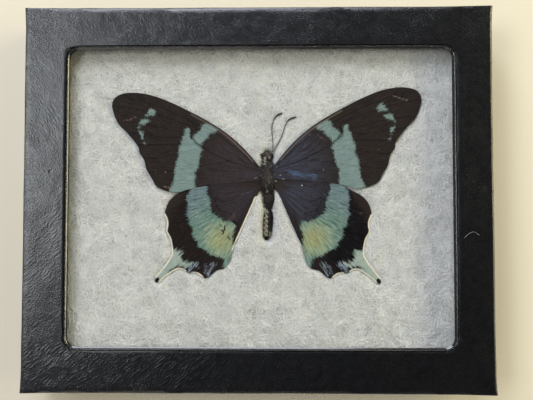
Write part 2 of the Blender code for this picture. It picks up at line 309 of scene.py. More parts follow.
def polyester_fibre():
    """Single crimped polyester fibres: white, with a weak gloss; drawn about three times too thick."""
    material, tree, shader = new_material("polyester_fibre")
    tint = unevenness(tree, object_mm(tree), 0.3, 2.0)
    feed(tree, shader, {"Base Color": layers(tree, "#eceeec", ("#fdfdfb", tint, -0.2, 0.2)),
                        "Roughness": 0.55, "Specular IOR Level": 0.35})
    return material


def wing_ground(tree, place, fan, w, near_root, beyond, blend, painted_sheen_tint, painted_sheen_share, vein):
    """The dark ground of a wing: tinted near the root, with a patchy painted sheen there (the scales' iridescence
    fixed into the colour), streaks, dark veins and mottling.
    """
    reach = add(tree, "SeparateXYZ", (fan,))
    fine = streaks(tree, fan, 0.35, 3.0, w)
    broad = streaks(tree, fan, 0.10, 0.55, w + 3.0)
    inner = cover(tree, reach, blend[1] - 2.0, blend[0] - 6.0, 0.0, painted_sheen_share)
    grain = unevenness(tree, place, 2.6, 4.0, 0.7, w)
    return layers(tree, near_root,
                  (beyond, (reach, (broad, 16.0)), *blend),
                  # Painted sheen: the root's blue or purple cast, the scales' iridescence fixed into the colour.
                  (painted_sheen_tint, (broad, (fine, 1.3)), -0.06, 0.16, inner),
                  ("#1c1a1d", (broad, (fine, 0.6)), -0.02, -0.20, 0.6),
                  ("#5e5652", (fine, (grain, 0.5)), -0.03, 0.25, 0.2),
                  ("#0d0b0b", grain, 0.02, -0.14, 0.35),
                  ("#120f10", vein, 0.24, 0.06, 0.75))


def painted_sheen_and_damage(field, rows, streak):
    """Coats for the painted blue sheen by the root (the scales' iridescence fixed into the colour), scratches where
    scales came off, and single specks.
    """
    return (("#5d7294", (field["painted_sheen"], (streak, 6.5), (rows, 3.5)), 0.2, 0.9, 0.75),
            ("#8d7b6d", (field["scratch"], (rows, 1.4)), -0.05, 0.08, 0.8),
            ("#dedbd0", field["speck"], -0.05, 0.06))


def read_fields(tree, names):
    """The fields stored on a wing, by name; fan is a vector."""
    return {name: add(tree, "Attribute", out=1 if name == "fan" else 2, attribute_name=name) for name in names}


def finish_scales(tree, shader, colour, rows, streak):
    """The dull velvet of wing scales, with the streaks and rows standing a few hundredths proud."""
    relief = ragged(tree, rows, (streak, 0.8))
    feed(tree, shader, {"Base Color": colour, "Roughness": 0.8, "Specular IOR Level": 0.04,
                        "Normal": add(tree, "Bump", {"Height": relief, "Distance": 0.05 * MM})})


def forewing_scales(name, w, near_root, painted_sheen_tint, painted_sheen_share):
    """Forewing scales: brown-black, a blue-green band with a ragged edge, and dark veins.

    Scale rows are 0.1 mm apart on the insect; they are drawn 0.3 mm apart so that they show.
    """
    material, tree, shader = new_material(name)
    field = read_fields(tree, ("pale", "vein", "front", "fan", "scratch", "speck", "painted_sheen"))
    place = object_mm(tree)
    rows = unevenness(tree, place, 3.0, 3.0, 0.7, w)
    streak = streaks(tree, field["fan"], 0.35, 3.2, w)
    broad = streaks(tree, field["fan"], 0.2, 0.9, w + 6.0)
    ground = wing_ground(tree, place, field["fan"], w, near_root, "#2c2623", (13.0, 22.0), painted_sheen_tint, painted_sheen_share,
                         field["vein"])
    band = layers(tree, "#7b938b",
                  ("#88999c", broad, -0.15, 0.15),
                  ("#5b726c", (rows, (streak, 0.8)), -0.04, 0.12, 0.6),
                  ("#a3b3aa", (rows, (streak, -0.6)), 0.02, 0.2, 0.5),
                  ("#394644", field["vein"], 0.22, 0.02, 0.5))
    colour = layers(tree, ground,
                    (band, (field["pale"], (streak, 2.6), (rows, 3.0)), -0.15, 0.22),
                    ("#77695b", (field["front"], (rows, 0.5)), 0.30, 0.08, 0.7),
                    *painted_sheen_and_damage(field, rows, streak))
    colour = dust_specks(tree, colour, place, 0.55, 0.10, 0.16, "#b9b4aa", w)
    finish_scales(tree, shader, colour, rows, streak)
    return material


def hindwing_scales(name, w, near_root, painted_sheen_tint, painted_sheen_share, outer_tint):
    """Hindwing scales: a band that goes from blue at the front to yellow-green behind, feathered along
    the veins, on black, with a pale tail and a cream fringe."""
    material, tree, shader = new_material(name)
    field = read_fields(tree, ("pale", "tail", "ink", "mark", "vein", "fringe", "fan", "gold", "rub", "scratch",
                               "speck", "painted_sheen"))
    fan, gold = field["fan"], field["gold"]
    place = object_mm(tree)
    rows = unevenness(tree, place, 3.0, 3.0, 0.7, w)
    streak = streaks(tree, fan, 0.30, 3.0, w, 4.0)
    feather = streaks(tree, fan, 0.16, 1.7, w + 2.0, 4.0)
    hair = streaks(tree, fan, 0.12, 1.9, w + 5.0, 1.0)
    arc = add(tree, "SeparateXYZ", (fan,), 1)
    ground = wing_ground(tree, place, fan, w, near_root, outer_tint, (12.0, 21.0), painted_sheen_tint, painted_sheen_share,
                         field["vein"])
    ground = layers(tree, ground, ("#272020", (arc, (feather, 9.0)), -21.0, -27.0, 0.85))
    brown = layers(tree, ground, ("#332a27", (gold, (feather, 6.0)), 15.0, 18.5, 0.8))
    band = layers(tree, "#657b77",
                  ("#8093a0", streak, -0.10, 0.12),
                  ("#6f8c80", (gold, (feather, 8.0)), 14.0, 8.0),
                  ("#95a485", (gold, (feather, 7.0), (streak, 5.0)), 6.8, 3.6),
                  ("#9fa373", (gold, (feather, 6.0)), 4.4, 1.2),
                  ("#46605f", (rows, (streak, 2.0)), 0.0, 0.3, 0.75),
                  ("#b7c6bc", (rows, (streak, -1.6)), 0.04, 0.3, 0.65),
                  ("#1c2628", hair, 0.17, 0.22, 0.85),
                  ("#3c5456", (feather, (streak, 0.8)), 0.0, 0.22, cover(tree, gold, 4.0, 9.0, 0.0, 0.8)),
                  ("#3a4a45", field["vein"], 0.2, 0.02, 0.45))
    tail = layers(tree, "#b4c0b4", ("#879c95", rows, -0.15, 0.2))
    colour = layers(tree, ground,
                    (brown, field["pale"], -0.2, -1.5),
                    (band, (field["pale"], (feather, 3.4), (streak, 3.0), (rows, 2.4)), -0.2, 0.3),
                    (tail, (field["tail"], (feather, 4.5), (streak, 5.0), (rows, 2.6)), -0.3, 0.6),
                    ("#8a97a4", (field["mark"], (streak, 6.0), (rows, 3.2)), 0.0, 0.7, 0.8),
                    ("#161310", (field["ink"], (rows, 0.6)), -0.08, 0.12),
                    ("#6b5343", (field["rub"], (streak, 3.0), (rows, 3.0)), 0.1, 0.5, 0.3),
                    *painted_sheen_and_damage(field, rows, streak),
                    ("#f1ead4", (field["fringe"], (rows, 0.5)), 0.48, 0.26))
    colour = dust_specks(tree, colour, place, 0.5, 0.10, 0.12, "#b9b4aa", w)
    finish_scales(tree, shader, colour, rows, streak)
    return material


def chitin(name, dark, light, roughness, cells):
    """Dried insect skin: two browns in a grain of that many cells a millimetre, with a low gloss."""
    material, tree, shader = new_material(name)
    grain = unevenness(tree, object_mm(tree), cells, 4.0, 0.6)
    feed(tree, shader, {"Base Color": layers(tree, dark, (light, grain, -0.15, 0.2)), "Roughness": roughness,
                        "Normal": add(tree, "Bump", {"Height": grain, "Distance": 0.06 * MM})})
    return material


def abdomen_scales():
    """Abdomen scales: brown in front of the waist; behind it black on one side, cream with spots on the other."""
    material, tree, shader = new_material("abdomen_scales")
    field = read_fields(tree, ("cream", "spot", "rear"))
    grain = unevenness(tree, object_mm(tree), 4.0, 4.0, 0.65)
    front = layers(tree, "#191512", ("#2e2721", grain, -0.15, 0.2))
    back = layers(tree, "#070606", ("#12100f", grain, -0.15, 0.2))
    cream = layers(tree, "#7a765f", ("#bfb99f", grain, -0.1, 0.15))
    colour = layers(tree, front,
                    (back, field["rear"], -0.2, 0.2),
                    (cream, (field["cream"], (grain, 2.2)), -0.12, 0.12),
                    ("#151310", (field["spot"], (grain, 1.3)), -0.06, 0.06))
    feed(tree, shader, {"Base Color": colour, "Roughness": 0.65, "Specular IOR Level": 0.2,
                        "Normal": add(tree, "Bump", {"Height": grain, "Distance": 0.06 * MM})})
    return material


def plain_finish(name, colour, roughness, metallic=0.0):
    """A one-colour finish with a faint cloud in its tone and gloss."""
    material, tree, shader = new_material(name)
    cloud = unevenness(tree, object_mm(tree), 2.0)
    feed(tree, shader, {
        "Base Color": layers(tree, colour, ("#000000", cloud, -0.2, 0.2, 0.25)), "Metallic": metallic,
        "Roughness": cover(tree, cloud, -0.2, 0.2, roughness * 0.85, roughness),
    })
    return material


def table_finish():
    """A pale cream table top."""
    material, tree, shader = new_material("pale_cream_table")
    feed(tree, shader, {"Base Color": "#f2e8d1", "Roughness": 0.8})
    return material


# Shape tools
# -----------

def place_piece(name, mesh, replaces=()):
    """Make a mesh a named piece that rides on the case."""
    piece = bpy.data.objects.new(name, mesh)
    bpy.context.collection.objects.link(piece)
    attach(piece, "root")
    if replaces:
        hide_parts(*replaces)
    return piece


def finish_piece(name, bm, material, replaces=(), smooth_angle=None):
    """Turn a bmesh made in millimetres into a piece."""
    bmesh.ops.scale(bm, vec=(MM, MM, MM), verts=bm.verts)
    mesh = bpy.data.meshes.new(name)
    bm.to_mesh(mesh)
    bm.free()
    mesh.materials.append(material)
    if smooth_angle is not None:
        mesh.shade_smooth()
        mesh.set_sharp_from_angle(angle=math.radians(smooth_angle))
    return place_piece(name, mesh, replaces)


def smooth_curve(points, closed=True, steps=6):
    """Points on a curve through the given ones, from Bezier stretches with Catmull-Rom handles."""
    knots = [Vector(p) for p in points]
    count = len(knots)
    curve = []
    for i in range(count if closed else count - 1):
        before = knots[i - 1] if closed or i else knots[0]
        after = knots[(i + 1) % count]
        beyond = knots[(i + 2) % count] if closed or i + 2 < count else after
        leave = knots[i] + (after - before) / 6
        arrive = after - (beyond - knots[i]) / 6
        curve.extend(interpolate_bezier(knots[i], leave, arrive, after, steps + 1)[:-1])
    if not closed:
        curve.append(knots[-1])
    return np.array([tuple(p)[:2] for p in curve])


def distance_to_line(points, line, closed=False):
    """Distance from each point to a line of short straight steps."""
    start = line if closed else line[:-1]
    end = np.roll(line, -1, axis=0) if closed else line[1:]
    best = np.full(len(points), 1e9)
    for a, b in zip(start, end):
        step = b - a
        t = np.clip(((points - a) @ step) / max(step @ step, 1e-12), 0.0, 1.0)
        best = np.minimum(best, np.hypot(*(points - a - t[:, None] * step).T))
    return best


def depth_inside(points, outline):
    """Distance from each point to a closed outline: above 0 inside it, below 0 outside."""
    inside = np.zeros(len(points), bool)
    for a, b in zip(outline, np.roll(outline, -1, axis=0)):
        if a[1] != b[1]:
            crosses = (a[1] > points[:, 1]) != (b[1] > points[:, 1])
            side = (b[0] - a[0]) * (points[:, 1] - a[1]) / (b[1] - a[1]) + a[0]
            inside ^= crosses & (points[:, 0] < side)
    return np.where(inside, 1.0, -1.0) * distance_to_line(points, outline, closed=True)


def slice_grid(bm, pitch, axes="xy"):
    """Cut the shape along evenly spaced planes, so that it can bend."""
    for axis in axes:
        index = "xyz".index(axis)
        places = [v.co[index] for v in bm.verts]
        normal = Vector([1.0 if i == index else 0.0 for i in range(3)])
        for step in range(math.ceil(min(places) / pitch), math.ceil(max(places) / pitch)):
            geometry = bm.verts[:] + bm.edges[:] + bm.faces[:]
            bmesh.ops.bisect_plane(bm, geom=geometry, plane_co=normal * step * pitch, plane_no=normal)


# Wings: one drawing for a right wing, in millimetres from the body's middle line
# -------------------------------------------------------------------------------

FOREWING = {
    "root": (1.5, 8),
    "outline": [
        (1.9, 9.7), (2.6, 10.8), (7.1, 16.2), (12.2, 20.8), (17.2, 24.2), (22.3, 27.1), (27.3, 29.7), (32.3, 31.9),
        (36.4, 33.1), (41, 33.5), (44.5, 32.7), (46.2, 30.5), (45.8, 27.3), (44.3, 24), (42, 21.6), (40.1, 19.3),
        (38.4, 16.8), (38.2, 15.3), (36.9, 13.2), (36.5, 11.8), (36.1, 10.1), (34.7, 7.6), (33.2, 5), (30, 3.4),
        (27, 3), (23.3, 3.9), (19, 4.7), (12, 5.3), (4, 5.8), (1.8, 6.4),
    ],
    "veins": [
        [(2.2, 9.6), (9, 15.8), (15.5, 20.9), (21, 23.6), (27.5, 27), (36, 30.4), (43.5, 32.2)],
        [(21.6, 22.6), (30, 25.8), (38, 28.3), (45.6, 29.6)],
        [(22.4, 20.4), (31, 22.6), (38, 24.2), (44.4, 25)],
        [(22.4, 19.4), (31, 19.8), (37, 20.9), (41.6, 21.4)],
        [(20.9, 17.9), (28, 17.6), (33, 17.6), (38.8, 17.6)],
        [(19.4, 16.5), (26, 14.8), (32, 13.7), (37.1, 13.6)],
        [(2.2, 8.9), (8, 10.9), (13.9, 13.3), (19.4, 16.5), (20.9, 17.9), (22.4, 19.4), (21.6, 22.6)],
        [(11, 12), (19, 10.9), (27, 9.8), (35.6, 9.2)],
    ],
    "front": [(4, 11.6), (8.2, 16.3), (13, 20.6), (18, 23.9), (22.5, 26.5)],
    "pale": [
        [
            (23, 21.9), (23.7, 22.5), (24.3, 21.9), (24.4, 20.6), (25.1, 19.8), (25.5, 18), (26.3, 16.4),
            (26.5, 15.1), (26.3, 13.9), (27, 12.6), (27.5, 10.6), (27.8, 8.4), (28, 6.7), (28.6, 5.1), (29.3, 3.2),
            (25.5, 2.7), (21.8, 3.8), (21.7, 6.3), (21.4, 7.6), (21.7, 8.9), (20.9, 9.7), (20.5, 10.9), (20.1, 12.6),
            (19.9, 14.3), (19.4, 15.3), (19.5, 16.4), (20.5, 17.2), (21.8, 18.5), (22.7, 19.5),
        ],
        [
            (17, 23.3), (18.2, 23.6), (19.2, 22.9), (19.6, 21.8), (20.5, 21), (21.9, 19.9), (21, 18.1), (19.4, 17.1),
            (18.9, 18.1), (17.2, 19.5), (17, 20.3), (14.9, 21), (14.7, 21.8),
        ],
        [(33.1, 27.3), (33.7, 28.4), (35, 28.5), (35.6, 27.3), (36.2, 26.3), (35, 26.4), (33.5, 26.5)],
        [(35, 24.8), (36, 25.4), (37.3, 25.4), (37.9, 24.2), (38.4, 22.7), (37.5, 23.5), (36.2, 24)],
        [(37.1, 21.4), (38.3, 21.8), (38.1, 21.1), (37.5, 19.8), (37.1, 19.3), (36.9, 20.4)],
        [(36.5, 18.3), (36.9, 18.3), (36.9, 17.8), (36.5, 17.8)],
    ],
}
HINDWING = {
    "root": (1.7, 4.3),
    "outline": [
        (2, 5.7), (6.3, 7.4), (11.3, 8), (16.3, 7.4), (20.8, 5.4), (23.9, 3.2), (28, 1.1), (30.3, -1.4),
        (31.3, -4.9), (30.6, -6.6), (30.5, -8.2), (30.7, -9.9), (29.6, -12), (29.1, -14), (28.9, -15.7),
        (29.1, -17.3), (31.3, -20.6), (33.7, -23.7), (33.8, -25), (33, -25.4), (32.1, -24.8), (30.7, -23.5),
        (27.7, -21.5), (26.3, -21.2), (24.8, -21.7), (23.8, -22.3), (22.3, -22.2), (21.1, -22.5), (19, -23.8),
        (17.8, -23.5), (16.7, -22.5), (15.2, -21.4), (13.2, -20.9), (12.1, -19.6), (11.3, -18.2), (10.3, -14),
        (9.1, -11.5), (6.4, -5.3), (3.5, 1.3), (2.3, 3),
    ],
    "veins": [
        [(2.4, 5.3), (10, 6.4), (18, 5.2), (25.5, 1.6), (29.6, -0.7)],
        [(2.4, 4.9), (9, 4.4), (16, 2.6), (24, -1), (31.1, -4.7)],
        [(16, 0.4), (22, -3.2), (27, -6.6), (30.6, -9.8)],
        [(15.8, -1.6), (20.5, -6), (25, -10.8), (28.9, -15.4)],
        [(14.6, -3.4), (19.5, -9.4), (25.5, -16.5), (33.2, -24.6)],
        [(13.2, -4.6), (17.2, -11), (20.8, -17), (23.7, -22.2)],
        [(11.2, -4.4), (13.8, -11), (16.4, -17.5), (18.4, -23.6)],
        [(2.3, 4), (6.5, -1.8), (9.8, -8.6), (12.6, -15), (14.6, -20.9)],
        [(2.3, 4.7), (8, 1.6), (13, -0.9), (16, 0.4), (15.8, -1.6), (14.6, -3.4), (11.2, -4.4)],
    ],
    "pale": [
        [
            (24, 3), (24.3, 1.7), (24.8, 0), (24.3, -2.4), (24.7, -4.9), (23.9, -6.6), (23.8, -7.8), (22.8, -9),
            (22.8, -11), (21.3, -13.2), (20.7, -14.5), (18, -16.1), (16.7, -17), (14.4, -17.6), (13.4, -18.6),
            (12.9, -20.6), (11.6, -20.2), (10.8, -18.2), (10.5, -15.3), (10.6, -12.4), (10.5, -10.4), (9.9, -8.7),
            (10.1, -7.2), (11.3, -6.8), (13.4, -6.6), (14.7, -5.8), (15.9, -4.9), (17.2, -3.7), (17.4, -2.4),
            (17.6, -0.8), (18.3, 0.9), (18.7, 3), (19.3, 5.4), (22, 5),
        ],
    ],
    "tail": [
        [
            (25.9, -15.7), (27.6, -15.4), (29.2, -15.6), (30.2, -17.3), (34.6, -23.6), (34.4, -26), (32.4, -26),
            (27.6, -20.9), (24.7, -20.7), (22.8, -19.9), (22.2, -19.1), (23.8, -19), (25.5, -18.4), (26.3, -17),
        ],
    ],
    "gold": (14, -12),
    "fringe": [
        [(31.3, -4.9), (30.6, -6.6), (30.5, -8.2), (30.7, -9.9), (29.6, -12), (29.1, -14),
         (28.9, -15.7), (29.1, -17.3), (31.3, -20.6), (33.6, -23.5)],
        [(32.1, -24.8), (30.7, -23.5), (27.7, -21.5), (26.3, -21.2), (24.8, -21.7)],
        [(22.6, -22.3), (21.1, -22.5), (19.6, -23.5)],
        [(10.6, -15.2), (9.1, -11.5), (6.4, -5.3), (3.9, 0.6)],
    ],
}
# Strokes are lists of points with a half width. The marks lie on both hindwings.
TAIL_TIP = ([(33, -24.3), (33.4, -24.9)], 0.55)
MARKS = [
    ([(16.4, -19.4), (17.2, -21), (18, -22.6)], 0.5),
    ([(18.6, -20), (18.8, -22.4)], 0.4),
    ([(21.6, -19.8), (23.4, -20.6), (23.6, -21.6)], 0.8),
    ([(12.2, -19.2), (12.8, -20.2)], 0.35),
]
# Each wing's turn in degrees and shift, and what lies on it alone: specks as places, the rest as strokes. The blue
# strokes by the root are painted sheen; scratches, ink and rubs are the wing's own.
WINGS = {
    "forewing_right": {
        "drawing": FOREWING, "turn": 0, "shift": (0, 0),
        "scratch": [([(37.6, 31), (42, 29.6)], 0.14), ([(15.2, 19), (17.4, 17.6)], 0.08)],
        "painted_sheen": [([(6.5, 8), (10, 7.3), (14, 6.9)], 0.75)],
        "speck": [(12.9, 19.1), (16.8, 8.7), (12.2, 19.5), (43, 26.6)],
    },
    "forewing_left": {
        "drawing": FOREWING, "turn": 1.35, "shift": (-0.2, -0.5),
        "scratch": [([(43.4, 24.9), (41.2, 25.2), (38.6, 26.4)], 0.11), ([(31, 4.9), (28.6, 4.3)], 0.16)],
        "painted_sheen": [([(3, 7.8), (6.5, 7.5)], 0.1)],
        "speck": [(30.5, 9.2), (6.2, 12), (2.3, 7)],
    },
    "hindwing_right": {
        "drawing": HINDWING, "turn": 0, "shift": (0, 0),
        "scratch": [([(19.5, -9), (21, -10)], 0.05), ([(26, -3.6), (28.4, -4.6)], 0.08)],
        "painted_sheen": [([(5, 4.6), (10.5, 3.6)], 0.1)],
        "speck": [(17.3, 1.3), (10.4, 4)],
        "ink": [TAIL_TIP, ([(17.6, -5.7), (19.5, -7.7)], 0.09), ([(20.5, -9.2), (22.9, -11.6)], 0.1),
                ([(21.3, -9.2), (23.2, -11.2)], 0.09), ([(31, -20.6), (32.2, -21.9)], 0.12)],
        "rub": [([(22.2, -9.2), (23.2, -10.6)], 0.45)],
    },
    "hindwing_left": {
        "drawing": HINDWING, "turn": -0.7, "shift": (0.5, -0.2),
        "scratch": [([(8, 1.6), (8.6, 0.2)], 0.06), ([(10, -3.6), (10.4, -4.4)], 0.08)],
        "painted_sheen": [([(4, 3.2), (7.5, 1.6)], 0.1)],
        "speck": [(11.9, 4.2), (9.6, -2.2)],
        "ink": [TAIL_TIP, ([(13, -7.8), (13.2, -9), (13.6, -10.4)], 0.25), ([(14.4, -9.3), (13.4, -9.6)], 0.22),
                ([(12.2, -11.2), (11.4, -12.3)], 0.2), ([(9.6, -7.5), (10.6, -6.7)], 0.35),
                ([(13.9, -8.4), (14.6, -7.6)], 0.18)],
        "rub": [([(10.4, -5), (11.6, -5.9)], 0.8)],
    },
}
WING_PITCH = 0.4
WING_SHEET = 0.08
FORE_LIFT = 14.60            # the forewings lie this high, and droop to DROOP_LIFT where they cover the hindwings
DROOP_LIFT = 14.20
HIND_LIFT = 14.16
SPECK_RADIUS = 0.19
VEIN_RELIEF = 0.05
VEIN_WIDTH = 0.22


def wing_mesh(drawing):
    """A wing cut into small squares, with its veins raised, seen from above."""
    bm = bmesh.new()
    bm.faces.new([bm.verts.new((x, y, 0.0)) for x, y in smooth_curve(drawing["outline"])])
    slice_grid(bm, WING_PITCH)
    points = np.array([v.co[:2] for v in bm.verts])
    veins = distance_to_curves(points, drawing["veins"])
    for vert, vein in zip(bm.verts, veins):
        lift, relief = HIND_LIFT, VEIN_RELIEF * min(max((7.0 - vert.co.y) / 6.0, 0.0), 1.0)
        if drawing is FOREWING:
            droop = max((vert.co.y - 0.12 * vert.co.x - 3.5) / 7.0, (vert.co.x - 21.0) / 5.0)
            droop = min(max(droop, 0.0), 1.0)
            lift, relief = DROOP_LIFT + (FORE_LIFT - DROOP_LIFT) * droop, VEIN_RELIEF
        vert.co.z = lift + relief * math.exp(-(vein / VEIN_WIDTH) ** 2)
    return bm, points, veins


def distance_to_curves(points, lines):
    """Distance from each point to the nearest of some open curves."""
    return np.min([distance_to_line(points, smooth_curve(line, closed=False)) for line in lines], 0)


def distance_to_spots(points, spots):
    """Distance from each point to the nearest of some places."""
    return np.min([np.hypot(*(points - np.array(spot)).T) for spot in spots], 0)


def stroke_depth(points, strokes):
    """How far each point lies inside the nearest of some round-ended strokes."""
    return np.max([width - distance_to_line(points, np.array(line)) for line, width in strokes], 0)


def wing_fields(node, points, veins):
    """What the scales' colours are worked out from, all in millimetres."""
    wing = WINGS[node]
    drawing = wing["drawing"]
    away = points - np.array(drawing["root"])
    fields = {
        "vein": veins,
        "fan": np.column_stack([np.hypot(*away.T), np.arctan2(away[:, 1], away[:, 0]) * 25.0, np.zeros(len(points))]),
        "speck": SPECK_RADIUS - distance_to_spots(points, wing["speck"]),
    }
    for name in ("pale", "tail"):
        if name in drawing:
            fields[name] = np.max([depth_inside(points, smooth_curve(shape)) for shape in drawing[name]], 0)
    for name in ("scratch", "painted_sheen", "ink", "rub"):
        if name in wing:
            fields[name] = stroke_depth(points, wing[name])
    if drawing is FOREWING:
        fields["front"] = distance_to_curves(points, [drawing["front"]])
    else:
        fields["gold"] = distance_to_spots(points, [drawing["gold"]])
        fields["mark"] = stroke_depth(points, MARKS)
        fields["fringe"] = distance_to_curves(points, drawing["fringe"][:4 if node == "hindwing_left" else 3])
    return fields


def store_fields(mesh, fields):
    """Write fields to a mesh as point attributes."""
    for name, values in fields.items():
        kind, key = ("FLOAT", "value") if values.ndim == 1 else ("FLOAT_VECTOR", "vector")
        layer = mesh.attributes.new(name, kind, "POINT")
        layer.data.foreach_set(key, values.astype(np.float32).ravel())


def wing_place(node):
    """Where a wing lies in the case: the left ones are the drawing mirrored, turned and moved a little."""
    wing = WINGS[node]
    sign = -1 if node.endswith("left") else 1
    root = Vector((sign * wing["drawing"]["root"][0], wing["drawing"]["root"][1], 0.0))
    return (Matrix.Translation(Vector((BODY_LINE_X + wing["shift"][0], wing["shift"][1], 0.0)) + root)
            @ Matrix.Rotation(math.radians(wing["turn"]), 4, "Z") @ Matrix.Translation(-root)
            @ Matrix.Diagonal((sign, 1.0, 1.0, 1.0)))


def build_wing(node, material):
    """One wing: a thin sheet that waves a little where it lies."""
    bm, points, veins = wing_mesh(WINGS[node]["drawing"])
    bmesh.ops.transform(bm, matrix=wing_place(node), verts=bm.verts)
    for vert in bm.verts:
        flat = Vector((vert.co.x, vert.co.y, 0.0))
        vert.co.z += noise.noise(flat * 0.12) * 0.10 + noise.noise(flat * 0.45) * 0.03
    bm.normal_update()
    bmesh.ops.reverse_faces(bm, faces=[face for face in bm.faces if face.normal.z < 0])
    piece = finish_piece(node + "_scaled", bm, material, (node,))
    store_fields(piece.data, wing_fields(node, points, veins))
    piece.data.shade_smooth()
    thick = piece.modifiers.new("thickness", "SOLIDIFY")
    thick.thickness = WING_SHEET * MM
    thick.offset = -1.0


def build_wings():
    """Both pairs of wings, each with its root colours: the blue cast on the right and the purple one on the left are
    painted sheen, the scales' iridescence fixed into the colour, strong on the right and weak on the left.
    """
    build_wing("forewing_right", forewing_scales("forewing_scales_right", 7.0, "#39363b", "#48516a", 0.8))
    build_wing("forewing_left", forewing_scales("forewing_scales_left", 1.0, "#393133", "#4a4044", 0.4))
    build_wing("hindwing_right",
               hindwing_scales("hindwing_scales_right", 9.0, "#38373f", "#464e63", 0.75, "#08080c"))
    build_wing("hindwing_left",
               hindwing_scales("hindwing_scales_left", 2.0, "#363033", "#443a48", 0.5, "#1e1816"))


# Body and antennae
# -----------------

# Stations along each section: place, side shift and half width.
ABDOMEN_STATIONS = [
    (1.8, 0.4, 1.2), (1.0, 0.6, 1.75), (-0.4, 0.6, 1.75), (-1.8, 0.5, 1.35), (-3.0, 0.45, 0.8), (-3.5, 0.45, 0.8),
    (-4.5, 0.4, 1.3), (-6.0, 0.3, 1.55), (-8.0, 0.15, 1.5), (-10.0, -0.05, 1.35), (-11.5, -0.25, 0.95),
    (-12.4, -0.4, 0.35),
]
THORAX_STATIONS = [
    (11.9, 0.0, 0.8), (11.3, 0.0, 1.3), (9.8, 0.0, 1.9), (7.5, 0.1, 2.35), (5.0, 0.2, 2.3), (3.2, 0.3, 1.7),
    (2.2, 0.4, 1.1),
]
HEAD_STATIONS = [
    (14.3, -0.2, 0.5), (14.0, -0.15, 1.0), (13.5, -0.1, 1.35), (12.9, 0.0, 1.35), (12.4, 0.0, 1.0), (12.2, 0.0, 0.7),
]
HEAD_Z, THORAX_Z, ABDOMEN_Z = 12.6, 12.1, 12.0
THORAX_DEPTH = 1.22          # its height over its width
SEGMENT_LENGTH = 1.45        # the abdomen's rings behind the waist
HAIR_CEILING = GLASS_LOW.z - 0.06


def station_at(stations, along):
    """Side shift and half width at a place along the body, read off its smooth outline."""
    values = []
    for index in (1, 2):
        table = smooth_curve([(s[0], s[index], 0.0) for s in stations], closed=False, steps=8)
        values.append(float(np.interp(-along, -table[:, 0], table[:, 1])))
    return values


def body_mesh(stations, centre_z, depth_ratio, spacing, swell):
    """Extrude a ring along the body; swell(along) widens it a little, as segments and wrinkles do."""
    front, back = stations[0][0], stations[-1][0]
    steps = math.ceil((front - back) / spacing)
    bm = bmesh.new()
    ring = bmesh.ops.create_circle(bm, segments=36, radius=1.0)["verts"]
    bmesh.ops.rotate(bm, cent=(0, 0, 0), matrix=Matrix.Rotation(math.radians(90), 3, "X"), verts=ring)
    bmesh.ops.scale(bm, vec=(1.0, 1.0, depth_ratio), verts=ring)
    middle, wide = Vector(), 1.0
    for step in range(steps + 1):
        if step:
            edges = [e for e in bm.edges if e.verts[0] in ring and e.verts[1] in ring]
            grown = bmesh.ops.extrude_edge_only(bm, edges=edges)["geom"]
            ring = {g for g in grown if isinstance(g, bmesh.types.BMVert)}
        along = front + (back - front) * step / steps
        aside, half = station_at(stations, along)
        half = max(half, 0.05) * (1 + swell(along))
        place = Vector((BODY_LINE_X + aside, along, centre_z))
        bmesh.ops.translate(bm, vec=place - middle, verts=list(ring))
        bmesh.ops.scale(bm, vec=(half / wide, 1.0, half / wide), space=Matrix.Translation(-place), verts=list(ring))
        middle, wide = place, half
    bmesh.ops.holes_fill(bm, edges=[e for e in bm.edges if e.is_boundary])
    bmesh.ops.recalc_face_normals(bm, faces=bm.faces)
    return bm


def build_head_and_thorax():
    """The head and the thorax under their hair."""
    hide = chitin("dark_body_skin", "#191512", "#2e2821", 0.6, 3.0)
    for node, stations, centre_z, ratio in (("head", HEAD_STATIONS, HEAD_Z, 1.0),
                                            ("thorax", THORAX_STATIONS, THORAX_Z, THORAX_DEPTH)):
        bm = body_mesh(stations, centre_z, ratio, 0.2, lambda along: 0.02 * math.sin(along * 9.0))
        finish_piece(node + "_skin", bm, hide, (node,), 60.0)


def segment_swell(along):
    """How much wider the abdomen is than its outline: full in the middle of a ring, tight between two."""
    return 0.07 * abs(math.sin(math.pi * (along + 3.2) / SEGMENT_LENGTH)) ** 0.5 - 0.05


def build_abdomen():
    """The ringed abdomen. It is built straight; the cream side and rows of dark spots that the insect's twist shows
    behind the waist are painted on from above.
    """
    bm = body_mesh(ABDOMEN_STATIONS, ABDOMEN_Z, 1.0, 0.12, segment_swell)
    points = np.array([v.co[:2] for v in bm.verts])
    piece = finish_piece("abdomen_skin", bm, abdomen_scales(), ("abdomen",), 60.0)
    across, along = points.T
    rear = -3.2 - along
    middle = 2.7 + 0.2 * np.sin(along * 2 * math.pi / SEGMENT_LENGTH)
    patch = np.minimum(0.8 - np.abs(along + 10.8), across - 3.35)
    cream = np.maximum(np.minimum(middle - across, rear - 0.2), patch)
    spot = 0.75 - np.hypot(across - 2.3, along + 11.9)
    for row, first, size in ((1.85, -3.6, 0.34), (2.45, -4.3, 0.20), (1.4, -4.3, 0.16)):
        for step in range(6):
            y = first - SEGMENT_LENGTH * step
            spot = np.maximum(spot, size - np.hypot(across - row + 0.05 * step, (along - y) * 0.8))
    store_fields(piece.data, {"cream": cream, "rear": rear, "spot": spot})


